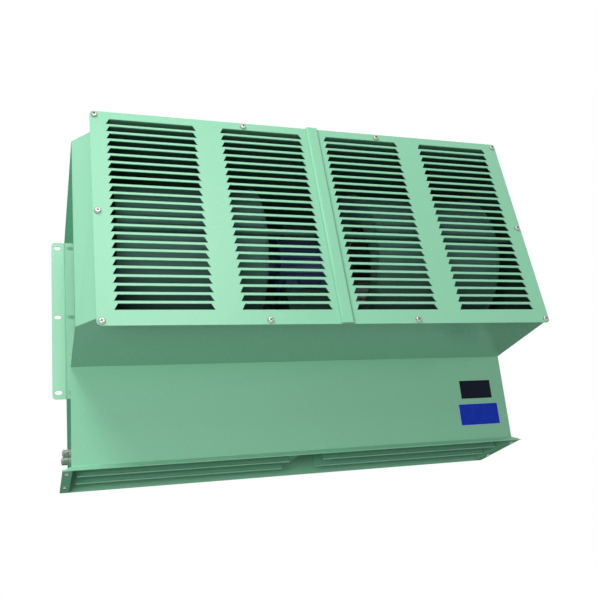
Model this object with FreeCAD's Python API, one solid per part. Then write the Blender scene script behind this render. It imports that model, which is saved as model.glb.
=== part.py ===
import FreeCAD
import Part
import math
import os
from FreeCAD import Vector

# Wall-hung air curtain, in millimetres.
# Origin: on the wall plane, at the centre of the wall slots. +X right seen from the front, +Y into the
# wall, +Z up. The casing is folded steel sheet, two blowers share one motor, and vanes aim the outlet.

# Casing sheets
SHEET = 1.6
BEND_RADIUS = 2.5
BODY_WIDTH = 900.0
BOX_TOP = 182.0
BOX_BOTTOM = -188.0
DEPTH = 416.0
BEVEL = 54.0

# Wall flanges
FLANGE_WIDTH = 27.0
FLANGE_HEIGHT = 364.0
FLANGE_CORNER = 8.0
SLOT_LENGTH = 14.0
SLOT_WIDTH = 9.0
SLOT_OUT = 15.0
SLOT_END = 14.0

# Lower duct and its flared outlet
DUCT_TOP_DEPTH = 189.0
MOUTH_DEPTH = 159.1
DUCT_DROP = 173.0
LIP = 9.0
END_FLARE = 15.0
POST_WIDTH = 26.0
POST_HEIGHT = 68.0
POST_UP = 32.0
POST_SHEET = 2.0

# Intake panels and their louvres
PANEL_SHEET = 1.6
PANEL_SIDE_OVERHANG = 25.0
PANEL_RISE = 29.0
PANEL_DROP = 23.0
PANEL_CORNER = 8.0
PANEL_GAP = 0.4
LOUVRE_PITCH = 16.0
LOUVRE_OPENING = 11.5
LOUVRE_END_LEAN = 6.8
LOUVRE_FLAP_ANGLE = 20.0
LOUVRE_BEND_RADIUS = 0.8
LOUVRE_COLUMNS = 2
MARGIN_TOP = 14.0
MARGIN_BOTTOM = 27.0
MARGIN_CENTRE = 22.0
MARGIN_SIDE = 27.0
COLUMN_GAP = 44.0
STRIP_WIDTH = 24.0
STRIP_PROUD = 5.5

# Front frame behind the panels
BAR_THICK = 3.0
BAR_MARGIN = 2.0
TOP_BAR_LEG = 13.0
TOP_BAR_STEP = 15.0
MULLION_WIDTH = 40.0
RAIL_HEIGHT = 11.0
RAIL_THICK = 3.0
RAIL_TOP = -8.0
RAIL_GAP = 1.5

# Screws
PANEL_SCREW_R = 3.0
PANEL_SCREW_HEAD_R = 6.0
PANEL_SCREW_HEAD = 3.8
PANEL_SCREW_LENGTH = 9.0
PANEL_SCREW_INSET = 7.8
PANEL_SCREW_MID = 139.0
STRIP_SCREW_R = 2.0
STRIP_SCREW_HEAD_R = 4.0
STRIP_SCREW_HEAD = 2.4
STRIP_SCREW_LENGTH = 7.0
STRIP_SCREW_FRONT = 22.0
STRIP_SCREW_REAR = 44.0
HEAD_CROWN = 0.6
HOLE_CLEARANCE = 0.3

# Bare plates on the duct front, placed from its right edge and from its top
PLATE_THICK = 0.8
UPPER_PLATE_WIDTH = 74.0
UPPER_PLATE_HEIGHT = 38.0
UPPER_PLATE_SIDE = 33.0
UPPER_PLATE_DOWN = 71.0
LOWER_PLATE_WIDTH = 96.0
LOWER_PLATE_HEIGHT = 46.0
LOWER_PLATE_SIDE = 22.0
LOWER_PLATE_DOWN = 124.0

# Vanes and their pivots
VANE_CHORD = 80.0
VANE_PIVOT_UP = 47.0
VANE_RECESS = 2.0
VANE_SHEET = 1.6
VANE_TUBE_R = 6.5
VANE_HEM_R = 1.9
VANE_END_GAP = 10.0
VANE_POST_GAP = 23.0
PIVOT_R = 4.0
PIVOT_GRIP = 25.0
PIVOT_PROUD = 13.5
RUNNING_FIT = 0.05
NUT_FLATS = 13.0
NUT_THICK = 6.5
LOCKNUT_THICK = 4.0
WASHER_R = 8.5
WASHER_THICK = 1.6
WASHER_GAP = 0.2

# Blowers: a four-centre scroll round a wheel of forward-curved blades
WHEEL_R = 104.0
BLADE_DEPTH = 20.0
BLADE_SHEET = 1.2
BLADE_COUNT = 30
BLADE_SWEEP = 8.0
BLADE_MID_SWEEP = 2.0
WHEEL_SHEET = 2.0
WHEEL_END_GAP = 25.0
SCROLL_WIDTH = 270.0
SCROLL_SHEET = 1.2
SCROLL_RIM = 6.0
SCROLL_CLEARANCE = 5.0
SCROLL_STEP = 18.0
SCROLL_FRONT_GAP = 29.0
SCROLL_MOTOR_GAP = 35.4
TONGUE_ANGLE = 310.0
DISCHARGE_LEDGE = 4.7
INLET_THROAT_R = 88.0
INLET_CURVE = 16.0
AXIS_Z = -6.0

# Motor
SHAFT_R = 8.5
SHAFT_OVERHANG = 22.0
MOTOR_R = 58.0
MOTOR_RIB = 7.0
MOTOR_RIB_THICK = 3.0
MOTOR_RIBS_PER_SIDE = 6
MOTOR_RIB_STEP = 15.0
MOTOR_WALL = 6.0
MOTOR_LENGTH = 150.0
SHIELD_THICK = 20.0
SHIELD_WEB = 6.0
SHIELD_BOSS_R = 28.0
BEARING_R = 20.0
BEARING_WIDTH = 12.0
CORE_LENGTH = 80.0
ROTOR_R = 28.0
AIR_GAP = 0.5
SHAFT_HEIGHT = 80.0
FOOT_THICK = 10.0
FOOT_WIDTH = 24.0
FOOT_REACH = 58.0
FOOT_SPAN = 74.0
FOOT_WEB_REACH = 34.0
FOOT_BOLT_INSET = 11.0
FOOT_BOLT_R = 4.0
CRADLE_SHEET = 3.0
CRADLE_OVER = 8.0
CRADLE_FLANGE = 22.0
CRADLE_WIDTH = 124.0
HUB_R = 24.0
HUB_LENGTH = 34.0
HUB_FLANGE_R = 36.0
HUB_FLANGE = 5.0
SET_SCREW_R = 4.0
TERMINAL_WIDTH = 70.0
TERMINAL_DEPTH = 56.0
TERMINAL_HEIGHT = 28.0
TERMINAL_WALL = 3.0
TERMINAL_LID = 4.0

# Cable entry in the top
GROMMET_HOLE_R = 13.0
GROMMET_BORE_R = 8.0
GROMMET_LIP = 4.0
GROMMET_LIP_THICK = 3.0
GROMMET_SIDE = 90.0
GROMMET_WALL = 70.0

# Derived places
HALF = BODY_WIDTH / 2
INNER = HALF - SHEET
TOP_INSIDE = BOX_TOP - SHEET
FLOOR_INSIDE = BOX_BOTTOM + SHEET
PANEL_FRONT = -DEPTH
PANEL_BACK = PANEL_FRONT + PANEL_SHEET
BAR_BACK = PANEL_BACK + BAR_THICK
BEVEL_Y = PANEL_FRONT + BEVEL
PANEL_HALF = HALF - BEVEL + PANEL_SIDE_OVERHANG
PANEL_TOP = BOX_TOP + PANEL_RISE
PANEL_BOTTOM = BOX_BOTTOM - PANEL_DROP
KINK_Z = BOX_BOTTOM - DUCT_DROP
OUTLET_Z = KINK_Z - LIP
STRIP_TOP = OUTLET_Z + SHEET
DUCT_LEAN = (DUCT_TOP_DEPTH - MOUTH_DEPTH) / DUCT_DROP
LEAN_ANGLE = math.atan(DUCT_LEAN)
PIVOT_Z = OUTLET_Z + VANE_PIVOT_UP
VANE_PLACES = {"front": -MOUTH_DEPTH * 2 / 3, "rear": -MOUTH_DEPTH / 3}
SCROLL_BASE = WHEEL_R + SCROLL_CLEARANCE
SCROLL_REACH = SCROLL_BASE + 3.5 * SCROLL_STEP
SCROLL_EDGE = SCROLL_SHEET + SCROLL_RIM
AXIS_Y = PANEL_FRONT + SCROLL_FRONT_GAP + SCROLL_EDGE + SCROLL_BASE + 1.5 * SCROLL_STEP
SCROLL_NEAR_X = MOTOR_LENGTH / 2 + SCROLL_MOTOR_GAP
SCROLL_FAR_X = SCROLL_NEAR_X + SCROLL_WIDTH
WHEEL_X = (SCROLL_NEAR_X + SCROLL_FAR_X) / 2
WHEEL_HALF = SCROLL_WIDTH / 2 - WHEEL_END_GAP
X_AXIS = Vector(1, 0, 0)
Y_AXIS = Vector(0, 1, 0)
Z_AXIS = Vector(0, 0, 1)


# Shape helpers
def spot(axis, u, v, w):
    """Point from two places across an axis and one along it."""
    return {"x": Vector(w, u, v), "y": Vector(u, w, v), "z": Vector(u, v, w)}[axis]


def prism(axis, outline, start, end):
    """Flat outline, across the axis, drawn out from start to end along it."""
    points = [spot(axis, u, v, start) for u, v in outline]
    face = Part.Face(Part.makePolygon(points + points[:1]))
    return face.extrude(spot(axis, 0, 0, end - start))


def block(x, y, z):
    """Box between two places on each axis."""
    return prism("z", [(x[0], y[0]), (x[1], y[0]), (x[1], y[1]), (x[0], y[1])], z[0], z[1])


def rod(axis, radius, u, v, start, end):
    """Cylinder along an axis."""
    return Part.makeCylinder(radius, end - start, spot(axis, u, v, start), spot(axis, 0, 0, 1))


def ring(axis, outer, inner, u, v, start, end):
    """Cylinder with a bore."""
    return rod(axis, outer, u, v, start, end).cut(rod(axis, inner, u, v, start, end))


def hexagon(axis, flats, u, v, start, end):
    """Hexagonal bar by its width across flats."""
    radius = flats / math.sqrt(3)
    corners = [math.radians(60 * i) for i in range(6)]
    return prism(axis, [(u + radius * math.cos(a), v + radius * math.sin(a)) for a in corners], start, end)


def fuse(shapes):
    """One solid from shapes that touch or overlap."""
    return shapes[0].multiFuse(shapes[1:]).removeSplitter()


def mirrored(shape):
    """The same piece on the other side of the middle."""
    return shape.mirror(Vector(), X_AXIS)


def round_edges(shape, radius, direction, chosen):
    """Fillet the straight edges along a direction whose middle passes the test."""
    edges = []
    for edge in shape.Edges:
        along = edge.tangentAt(edge.FirstParameter)
        if abs(along.dot(direction)) > 0.999 and chosen(edge.CenterOfMass):
            edges.append(edge)
    return shape.makeFillet(radius, edges)


def folded(axis, path, thickness, start, end):
    """Sheet bent along a path: the path is one face, and the metal lies to its left."""
    path = [Vector(u, v, 0) for u, v in path]
    runs = [(b - a).normalize() for a, b in zip(path, path[1:])]
    sides = [Vector(-d.y, d.x, 0) for d in runs]
    edges = []

    def at(p):
        return spot(axis, p.x, p.y, start)

    def line(a, b):
        edges.append(Part.makeLine(at(a), at(b)))

    def arc(a, middle, b):
        edges.append(Part.Arc(at(a), at(middle), at(b)).toShape())

    near = path[0]
    far = near + sides[0] * thickness
    line(near, far)
    for i, corner in enumerate(path[1:-1]):
        left = runs[i].cross(runs[i + 1]).z > 0
        near_radius = BEND_RADIUS + (thickness if left else 0)
        far_radius = BEND_RADIUS + (0 if left else thickness)
        set_back = near_radius * math.tan(runs[i].getAngle(runs[i + 1]) / 2)
        near_in = corner - runs[i] * set_back
        near_out = corner + runs[i + 1] * set_back
        far_in = near_in + sides[i] * thickness
        far_out = near_out + sides[i + 1] * thickness
        centre = near_in + sides[i] * (near_radius if left else -near_radius)
        outward = (corner - centre).normalize()
        line(near, near_in)
        line(far, far_in)
        arc(near_in, centre + outward * near_radius, near_out)
        arc(far_in, centre + outward * far_radius, far_out)
        near = near_out
        far = far_out
    line(near, path[-1])
    line(far, path[-1] + sides[-1] * thickness)
    line(path[-1], path[-1] + sides[-1] * thickness)
    face = Part.Face(Part.Wire(Part.sortEdges(edges)[0]))
    return face.extrude(spot(axis, 0, 0, end - start))


def pan_screw(axis, u, v, seat, side, head_r, head, shank_r, length):
    """Screw whose crowned head stands on the seat towards the given side, its shank the other way."""
    rim = seat + side * head * (1 - HEAD_CROWN)
    tip = seat - side * length
    crown = Part.makeCone(head_r, head_r * HEAD_CROWN, head * HEAD_CROWN, spot(axis, u, v, rim),
                          spot(axis, 0, 0, side))
    disc = rod(axis, head_r, u, v, min(seat, rim), max(seat, rim))
    return fuse([disc, crown, rod(axis, shank_r, u, v, min(seat, tip), max(seat, tip))])


def export(name, shape):
    """Write one node."""
    shape.exportStep(os.path.join("parts", name + ".step"))


# Lower duct
def duct_front_y(z):
    """Outer face of the leaning duct front at a height."""
    return -MOUTH_DEPTH - (z - KINK_Z) * DUCT_LEAN


def duct_inside_y(z):
    """Inner face of the duct front at a height."""
    return duct_front_y(z) + SHEET / math.cos(LEAN_ANGLE)


def lip_inside_y(z):
    """Inner face of the flared lip at a height."""
    return -MOUTH_DEPTH + (z - KINK_Z) + SHEET * math.sqrt(2)


def duct_inside_corner():
    """Where the inner faces of the duct front and the lip meet."""
    offset = SHEET / math.cos(LEAN_ANGLE) - SHEET * math.sqrt(2)
    z = KINK_Z + offset / (1 + DUCT_LEAN)
    return duct_inside_y(z), z


def duct_front_plate():
    """Leaning front of the duct, bent forward into a flared lip whose ends splay outwards."""
    over = 2 * SHEET
    path = [
        (duct_front_y(BOX_BOTTOM + over), BOX_BOTTOM + over),
        (-MOUTH_DEPTH, KINK_Z),
        (-MOUTH_DEPTH - LIP, OUTLET_Z),
    ]
    plate = folded("x", path, SHEET, -HALF - END_FLARE, HALF + END_FLARE)
    plate = plate.cut(block((-BODY_WIDTH, BODY_WIDTH), (-DEPTH, 0), (BOX_BOTTOM, BOX_BOTTOM + 4 * over)))
    beyond = HALF + 3 * END_FLARE
    slope = END_FLARE / LIP
    splay = [
        (HALF, BOX_BOTTOM + over),
        (HALF, KINK_Z),
        (HALF + 2 * LIP * slope, KINK_Z - 2 * LIP),
        (beyond, KINK_Z - 2 * LIP),
        (beyond, BOX_BOTTOM + over),
    ]
    waste = prism("y", splay, -DEPTH, 0)
    return plate.cut(waste).cut(mirrored(waste))


def bare_plate(width, height, from_side, down):
    """Flat plate on the duct front, with its middle so far down from the duct's top."""
    right = HALF - from_side
    plate = block((right - width, right), (-PLATE_THICK, 0), (-height / 2, height / 2))
    z = BOX_BOTTOM - down * math.cos(LEAN_ANGLE)
    plate.rotate(Vector(), X_AXIS, math.degrees(LEAN_ANGLE))
    plate.translate(Vector(0, duct_front_y(z), z))
    return plate


def outlet_end_strip():
    """Flat strip under the right end of the outlet."""
    strip = block((INNER, HALF + END_FLARE), (lip_inside_y(STRIP_TOP), 0), (OUTLET_Z, STRIP_TOP))
    for y in strip_screw_places():
        strip = strip.cut(rod("z", STRIP_SCREW_R + HOLE_CLEARANCE, strip_screw_x(), y, OUTLET_Z, STRIP_TOP))
    return strip


def strip_screw_x():
    return HALF + END_FLARE / 2


def strip_screw_places():
    return [lip_inside_y(STRIP_TOP) + STRIP_SCREW_FRONT, -STRIP_SCREW_REAR]


def end_strip_screws():
    """Small pan screws that hold both end strips from below."""
    screws = []
    for y in strip_screw_places():
        screw = pan_screw("z", strip_screw_x(), y, OUTLET_Z, -1, STRIP_SCREW_HEAD_R, STRIP_SCREW_HEAD,
                          STRIP_SCREW_R, STRIP_SCREW_LENGTH)
        screws += [screw, mirrored(screw)]
    return Part.makeCompound(screws)


def outlet_centre_post():
    """Folded channel across the middle of the mouth, which carries the vanes' inner pins."""
    half = POST_WIDTH / 2
    bottom = OUTLET_Z + POST_UP
    path = [(half, bottom + POST_HEIGHT), (half, bottom), (-half, bottom), (-half, bottom + POST_HEIGHT)]
    post = folded("y", path[::-1], POST_SHEET, -DUCT_TOP_DEPTH, -SHEET)
    corner = duct_inside_corner()
    ahead = [
        (duct_inside_y(BOX_BOTTOM), BOX_BOTTOM),
        corner,
        (lip_inside_y(OUTLET_Z), OUTLET_Z),
        (-DEPTH, OUTLET_Z),
        (-DEPTH, BOX_BOTTOM),
    ]
    post = post.cut(prism("x", ahead, -POST_WIDTH, POST_WIDTH))
    for y in VANE_PLACES.values():
        post = post.cut(rod("x", PIVOT_R + RUNNING_FIT, y, PIVOT_Z, -POST_WIDTH, POST_WIDTH))
    return post


# Casing
def slot_cutter(x, z):
    """Obround hole through a wall flange, long way across."""
    reach = (SLOT_LENGTH - SLOT_WIDTH) / 2
    radius = SLOT_WIDTH / 2
    middle = block((x - reach, x + reach), (-2 * SHEET, SHEET), (z - radius, z + radius))
    ends = [rod("y", radius, x + side * reach, z, -2 * SHEET, SHEET) for side in (-1, 1)]
    return fuse([middle] + ends)


def side_panel():
    """Right side sheet: wall, front bevel, duct cheek, slotted wall flange and bottom flange."""
    over = 3 * SHEET
    bevel_path = [(HALF - BEVEL - over, PANEL_FRONT - over), (HALF, BEVEL_Y), (HALF, 0)]
    wall = folded("z", bevel_path, SHEET, BOX_BOTTOM, TOP_INSIDE)
    wall = wall.cut(block((0, BODY_WIDTH), (-2 * DEPTH, BAR_BACK), (BOX_BOTTOM, TOP_INSIDE)))
    cheek_outline = [
        (0, BOX_BOTTOM),
        (duct_inside_y(BOX_BOTTOM), BOX_BOTTOM),
        duct_inside_corner(),
        (lip_inside_y(STRIP_TOP), STRIP_TOP),
        (0, STRIP_TOP),
    ]
    cheek = prism("x", cheek_outline, INNER, HALF)
    flange_z = FLANGE_HEIGHT / 2
    flange = block((INNER, HALF + FLANGE_WIDTH), (-SHEET, 0), (-flange_z, flange_z))
    flange = round_edges(flange, FLANGE_CORNER, Y_AXIS, lambda c: c.x > HALF)
    foot_front = lip_inside_y(STRIP_TOP + SHEET)
    foot = block((INNER, HALF + END_FLARE), (foot_front, 0), (STRIP_TOP, STRIP_TOP + SHEET))
    panel = fuse([wall, cheek, flange, foot])
    inside_fold = lambda c: abs(c.x - HALF) < 0.01 and abs(c.y + SHEET) < 0.01 and abs(c.z) < flange_z
    panel = round_edges(panel, BEND_RADIUS, Z_AXIS, inside_fold)
    panel = panel.cut(block((INNER, HALF), (-SHEET, 0), (TOP_INSIDE, BOX_TOP)))
    for z in (-flange_z + SLOT_END, 0, flange_z - SLOT_END):
        panel = panel.cut(slot_cutter(HALF + SLOT_OUT, z))
    for y in VANE_PLACES.values():
        panel = panel.cut(rod("x", PIVOT_R + RUNNING_FIT, y, PIVOT_Z, INNER - SHEET, HALF + SHEET))
    for y in strip_screw_places():
        hole = rod("z", STRIP_SCREW_R + HOLE_CLEARANCE, strip_screw_x(), y, OUTLET_Z, STRIP_TOP + 2 * SHEET)
        panel = panel.cut(hole)
    return panel


def plan(half, front, rear, bevel_y):
    """Box outline seen from above: square at the wall, bevelled at the front."""
    narrow = half - (bevel_y - front)
    return [(half, rear), (half, bevel_y), (narrow, front), (-narrow, front), (-half, bevel_y), (-half, rear)]


def top_panel():
    """Top sheet, resting on the side sheets, with the cable entry hole."""
    sheet = prism("z", plan(HALF, BAR_BACK, 0, BEVEL_Y), TOP_INSIDE, BOX_TOP)
    return sheet.cut(rod("z", GROMMET_HOLE_R, grommet_x(), -GROMMET_WALL, TOP_INSIDE, BOX_TOP))


def grommet_x():
    return HALF - GROMMET_SIDE


def cable_grommet():
    """Rubber bush in the cable entry."""
    lip_r = GROMMET_HOLE_R + GROMMET_LIP
    lips = []
    for start in (TOP_INSIDE - GROMMET_LIP_THICK, BOX_TOP):
        lips.append(rod("z", lip_r, grommet_x(), -GROMMET_WALL, start, start + GROMMET_LIP_THICK))
    low = TOP_INSIDE - GROMMET_LIP_THICK
    high = BOX_TOP + GROMMET_LIP_THICK
    neck = rod("z", GROMMET_HOLE_R - RUNNING_FIT, grommet_x(), -GROMMET_WALL, low, high)
    bore = rod("z", GROMMET_BORE_R, grommet_x(), -GROMMET_WALL, low, high)
    return fuse(lips + [neck]).cut(bore)


def inside_plan():
    """Room inside the side sheets and the back, seen from above."""
    return plan(INNER, BAR_BACK, -SHEET, BEVEL_Y + SHEET * math.tan(math.pi / 8))


def box_floor():
    """Underside of the box, with a discharge opening under each blower."""
    floor = prism("z", inside_plan(), BOX_BOTTOM, FLOOR_INSIDE)
    opening = block(
        (SCROLL_NEAR_X + SCROLL_SHEET, SCROLL_FAR_X - SCROLL_SHEET),
        (discharge_front(), AXIS_Y + SCROLL_REACH),
        (BOX_BOTTOM, FLOOR_INSIDE),
    )
    return floor.cut(opening).cut(mirrored(opening))


def back_panel():
    """Rear sheet of the box and the duct."""
    return block((-INNER, INNER), (-SHEET, 0), (OUTLET_Z, TOP_INSIDE))


# Front frame and intake panels
def bar_inner_x():
    """Inner face of the bevel where it meets the front frame."""
    return HALF - (BEVEL_Y - BAR_BACK) - SHEET * math.sqrt(2)


def panel_screw_places():
    side = PANEL_HALF - PANEL_SCREW_INSET
    high = PANEL_TOP - PANEL_SCREW_INSET
    low = PANEL_BOTTOM + PANEL_SCREW_INSET
    middle = (high + low) / 2
    right = [(side, high), (side, middle), (side, low), (PANEL_SCREW_MID, high), (PANEL_SCREW_MID, low)]
    return right + [(-x, z) for x, z in right]


def drilled(shape, radius):
    """The shape with the panel screws' holes."""
    for x, z in panel_screw_places():
        shape = shape.cut(rod("y", radius, x, z, PANEL_FRONT, BAR_BACK))
    return shape


def frame_bars():
    """Bars round the mouth of the box, which the intake panels are screwed to."""
    wide = PANEL_HALF - BAR_MARGIN
    inner = bar_inner_x()
    depth = (PANEL_BACK, BAR_BACK)
    bars = {
        "top": folded("x", top_bar_path(), SHEET, -wide, wide),
        "bottom": block((-wide, wide), depth, (PANEL_BOTTOM + BAR_MARGIN, FLOOR_INSIDE)),
        "left": block((-wide, -inner), depth, (FLOOR_INSIDE, BOX_TOP)),
        "right": block((inner, wide), depth, (FLOOR_INSIDE, BOX_TOP)),
    }
    return {name: drilled(bar, PANEL_SCREW_R + RUNNING_FIT) for name, bar in bars.items()}


def top_bar_path():
    """Stepped section of the top bar, back over the top row of louvres and down to the top sheet."""
    high = PANEL_TOP - BAR_MARGIN
    low = high - TOP_BAR_LEG
    step_y = PANEL_BACK + TOP_BAR_STEP
    return [(PANEL_BACK, high), (PANEL_BACK, low), (step_y, low), (step_y, BOX_TOP)]


def centre_mullion():
    """Flat bar behind the joint of the two panels."""
    half = MULLION_WIDTH / 2
    return block((-half, half), (PANEL_BACK, BAR_BACK), (FLOOR_INSIDE, BOX_TOP))


def cross_rail():
    """Flat bar across the box just ahead of the blowers, its ends cut to the bevels."""
    rear = blower_front(RAIL_TOP) - RAIL_GAP
    return prism("z", inside_plan(), RAIL_TOP - RAIL_HEIGHT, RAIL_TOP).common(
        block((-HALF, HALF), (rear - RAIL_THICK, rear), (RAIL_TOP - RAIL_HEIGHT, RAIL_TOP))
    )


def louvre_width():
    clear = PANEL_HALF - MARGIN_CENTRE - MARGIN_SIDE - COLUMN_GAP * (LOUVRE_COLUMNS - 1)
    return clear / LOUVRE_COLUMNS


def louvre_places():
    """Middle of each opening's bottom edge on the right panel."""
    width = louvre_width()
    room = PANEL_TOP - PANEL_BOTTOM - MARGIN_TOP - MARGIN_BOTTOM - LOUVRE_OPENING
    rows = int(room / LOUVRE_PITCH + 0.001) + 1
    first_x = MARGIN_CENTRE + width / 2
    first_z = PANEL_BOTTOM + MARGIN_BOTTOM
    places = []
    for column in range(LOUVRE_COLUMNS):
        for row in range(rows):
            places.append((first_x + column * (width + COLUMN_GAP), first_z + row * LOUVRE_PITCH))
    return places


def louvre_outline(height):
    """Outline of an opening, or of the flap cut from it, up from the bend: its ends lean together."""
    half = louvre_width() / 2
    top = half - LOUVRE_END_LEAN
    return [(-half, 0), (half, 0), (top, height), (-top, height)]


def louvre_shapes():
    """One louvre's opening and its flap, bent inwards at the bottom edge, from the bend's start."""
    outer = LOUVRE_BEND_RADIUS + PANEL_SHEET
    turn = 90 - LOUVRE_FLAP_ANGLE
    height = LOUVRE_OPENING + outer / 2
    bend_length = (LOUVRE_BEND_RADIUS + PANEL_SHEET / 2) * math.radians(turn)
    axis_point = Vector(0, outer, 0)
    opening = prism("y", louvre_outline(height), 0, PANEL_SHEET)
    flap = prism("y", louvre_outline(height - bend_length), 0, PANEL_SHEET)
    edge = Part.makePlane(louvre_width(), PANEL_SHEET, Vector(-louvre_width() / 2, 0, 0))
    bend = edge.revolve(axis_point, X_AXIS, -turn)
    return opening, fuse([bend, flap.rotated(axis_point, X_AXIS, -turn)])


def intake_panel():
    """Right intake panel: a flat sheet with rows of louvres, each a flap lanced and bent inwards."""
    sheet = block((PANEL_GAP / 2, PANEL_HALF), (PANEL_FRONT, PANEL_BACK), (PANEL_BOTTOM, PANEL_TOP))
    sheet = round_edges(sheet, PANEL_CORNER, Y_AXIS, lambda c: c.x > HALF / 2)
    opening, flap = louvre_shapes()
    bend_start = (LOUVRE_BEND_RADIUS + PANEL_SHEET) / 2
    openings = []
    flaps = []
    for x, z in louvre_places():
        place = Vector(x, PANEL_FRONT, z - bend_start)
        openings.append(opening.translated(place))
        flaps.append(flap.translated(place))
    sheet = drilled(sheet.cut(Part.makeCompound(openings)), PANEL_SCREW_R + HOLE_CLEARANCE)
    return sheet.multiFuse(flaps)


def panel_joint_strip():
    """Channel that covers the joint between the panels."""
    half = STRIP_WIDTH / 2
    front = PANEL_FRONT - STRIP_PROUD
    path = [(-half, PANEL_FRONT), (-half, front), (half, front), (half, PANEL_FRONT)]
    return folded("z", path, SHEET, PANEL_BOTTOM, PANEL_TOP)


def panel_screws():
    """Pan screws round the intake panels."""
    screws = []
    for x, z in panel_screw_places():
        screws.append(pan_screw("y", x, z, PANEL_FRONT, -1, PANEL_SCREW_HEAD_R, PANEL_SCREW_HEAD,
                                PANEL_SCREW_R, PANEL_SCREW_LENGTH))
    return Part.makeCompound(screws)


# Blowers
def tongue():
    """Place of the scroll's cut-off, from the wheel's axis, on the scroll's inner face."""
    angle = math.radians(TONGUE_ANGLE)
    half = SCROLL_STEP / 2
    return SCROLL_BASE * math.cos(angle) - half, SCROLL_BASE * math.sin(angle) - half


def discharge_front():
    """Front of the discharge where it passes through the box floor into the duct."""
    return duct_inside_y(BOX_BOTTOM) + DISCHARGE_LEDGE


def blower_front(z):
    """Front of the blowers' side sheets at a height on their lower front quarter."""
    half = SCROLL_STEP / 2
    radius = SCROLL_BASE + SCROLL_STEP + SCROLL_EDGE
    return AXIS_Y - half - math.sqrt(radius ** 2 - (z - AXIS_Z - half) ** 2)


def scroll_edges(offset, x):
    """Scroll line from the cut-off round to the discharge, pushed outwards by an offset."""
    half = SCROLL_STEP / 2
    centres = [(-half, -half), (-half, half), (half, half), (half, -half)]
    radius = SCROLL_BASE + offset
    floor = FLOOR_INSIDE - AXIS_Z
    tongue_y, tongue_z = tongue()
    foot_y = discharge_front() - AXIS_Y
    wall = math.hypot(tongue_y - foot_y, tongue_z - floor)
    lean_y, lean_z = (tongue_y - foot_y) / wall, (tongue_z - floor) / wall
    foot_y -= offset / lean_z
    along = (foot_y + half) * lean_y + (floor + half) * lean_z
    aside = (foot_y + half) ** 2 + (floor + half) ** 2 - radius ** 2
    rise = -along - math.sqrt(along ** 2 - aside)
    start = (foot_y + rise * lean_y, floor + rise * lean_z)
    start_angle = math.atan2(start[1] + half, start[0] + half)
    turns = [start_angle, -math.pi / 2, -math.pi, -1.5 * math.pi, -2 * math.pi]

    def at(y, z):
        return Vector(x, AXIS_Y + y, AXIS_Z + z)

    def on_arc(i, angle):
        r = radius + i * SCROLL_STEP
        return at(centres[i][0] + r * math.cos(angle), centres[i][1] + r * math.sin(angle))

    edges = [Part.makeLine(at(foot_y, floor), at(*start))]
    for i in range(4):
        middle = (turns[i] + turns[i + 1]) / 2
        ends = [on_arc(i, turns[i]), on_arc(i, middle), on_arc(i, turns[i + 1])]
        edges.append(Part.Arc(*ends).toShape())
    rear = SCROLL_REACH + offset
    edges.append(Part.makeLine(at(rear, -half), at(rear, floor)))
    return edges


def closing(first, second):
    """Lines that join the two free ends of one chain of edges to another's."""
    pairs = [(first[0].Vertexes[0], second[0].Vertexes[0]), (first[-1].Vertexes[1], second[-1].Vertexes[1])]
    return [Part.makeLine(a.Point, b.Point) for a, b in pairs]


def scroll_wrap():
    """Right blower's curved back sheet."""
    inside = scroll_edges(0, SCROLL_NEAR_X + SCROLL_SHEET)
    outside = scroll_edges(SCROLL_SHEET, SCROLL_NEAR_X + SCROLL_SHEET)
    wire = Part.Wire(Part.sortEdges(inside + outside + closing(inside, outside))[0])
    return Part.Face(wire).extrude(X_AXIS * (SCROLL_WIDTH - 2 * SCROLL_SHEET))


def scroll_side(x, inward):
    """Right blower's side sheet with a rolled inlet; inward is the way to the wheel along X."""
    start = x if inward > 0 else x - SCROLL_SHEET
    outline = scroll_edges(SCROLL_EDGE, start)
    foot = Part.makeLine(outline[0].Vertexes[0].Point, outline[-1].Vertexes[1].Point)
    wire = Part.Wire(Part.sortEdges(outline + [foot])[0])
    side = Part.Face(wire).extrude(X_AXIS * SCROLL_SHEET)
    hole_r = INLET_THROAT_R + INLET_CURVE
    side = side.cut(rod("x", hole_r, AXIS_Y, AXIS_Z, start, start + SCROLL_SHEET))
    return fuse([side, inlet_roll(x, inward, hole_r)])


def inlet_roll(x, inward, hole_r):
    """Quarter-round inlet, rolled from the side sheet towards the wheel."""

    def at(depth, radius):
        return Vector(x + inward * depth, AXIS_Y, AXIS_Z + radius)

    def quarter(radius):
        lean = radius * math.sqrt(0.5)
        start = at(INLET_CURVE - radius, hole_r)
        middle = at(INLET_CURVE - lean, hole_r - lean)
        return Part.Arc(start, middle, at(INLET_CURVE, hole_r - radius)).toShape()

    inner = INLET_CURVE - SCROLL_SHEET
    edges = [
        quarter(INLET_CURVE),
        Part.makeLine(at(INLET_CURVE, hole_r - INLET_CURVE), at(INLET_CURVE, hole_r - inner)),
        quarter(inner),
        Part.makeLine(at(SCROLL_SHEET, hole_r), at(0, hole_r)),
    ]
    wire = Part.Wire(Part.sortEdges(edges)[0])
    return Part.Face(wire).revolve(Vector(0, AXIS_Y, AXIS_Z), X_AXIS, 360)


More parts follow.
